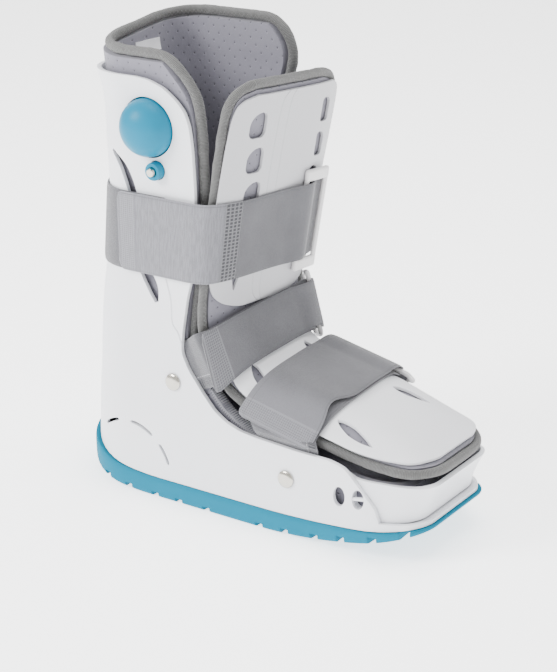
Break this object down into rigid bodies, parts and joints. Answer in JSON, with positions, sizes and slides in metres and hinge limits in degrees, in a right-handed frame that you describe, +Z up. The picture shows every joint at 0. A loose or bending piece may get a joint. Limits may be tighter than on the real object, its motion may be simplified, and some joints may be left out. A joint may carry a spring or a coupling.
{
  "type": "air walker boot",
  "caption": "Tall rigid air walker boot with rocker sole, padded liner and front flap, plastic front plates, straps with rings and a squeeze air bulb.",
  "frame": {"origin": "bottom centre of the whole boot's box, on the floor", "axes": "+X towards the toe, +Y towards the side without the bulb, +Z up"},
  "size_m": [0.2878, 0.1356, 0.3254],
  "materials": {
    "shell_white": "satin moulded, cool white",
    "panel_white": "satin moulded, very light grey",
    "sole_blue": "matt moulded, bright light blue",
    "pump_blue": "glossy moulded, bright blue",
    "liner_fabric": "laminated foam cloth, lilac grey",
    "binding_tape": "woven edge tape, warm grey",
    "strap_grey": "brushed loop webbing, mid grey",
    "ring_plastic": "moulded, off-white",
    "rivet_metal": "bright nickel plate",
    "tag_cloth": "plain white woven label, blank"
  },
  "bodies": {
    "boot": {"outsole": "sole_blue", "shell": "shell_white", "toe_bumper": "shell_white", "liner": "liner_fabric", "liner_binding": "binding_tape", "liner_tag": "tag_cloth", "front_pad": "liner_fabric", "front_pad_binding": "binding_tape", "shin_panel": "panel_white", "instep_panel": "panel_white", "shaft_strap": "strap_grey", "shaft_ring": "ring_plastic", "ankle_strap": "strap_grey", "ankle_ring": "ring_plastic", "ankle_ring_tab": "strap_grey", "toe_strap": "strap_grey", "toe_ring": "ring_plastic", "toe_ring_tab": "strap_grey", "pump_bulb": "pump_blue", "valve_body": "pump_blue", "ankle_rivet_near": "rivet_metal", "ankle_rivet_far": "rivet_metal", "toe_rivet_near": "rivet_metal", "toe_rivet_far": "rivet_metal"},
    "valve_button": {"valve_pin": "rivet_metal"}
  },
  "joints": [
    {"name": "valve_press", "type": "slide", "parent": "boot", "child": "valve_button", "axis": [0, 0.9996, 0.0277], "range_m": [0, 0.002], "stiffness_N_per_m": 400}
  ]
}
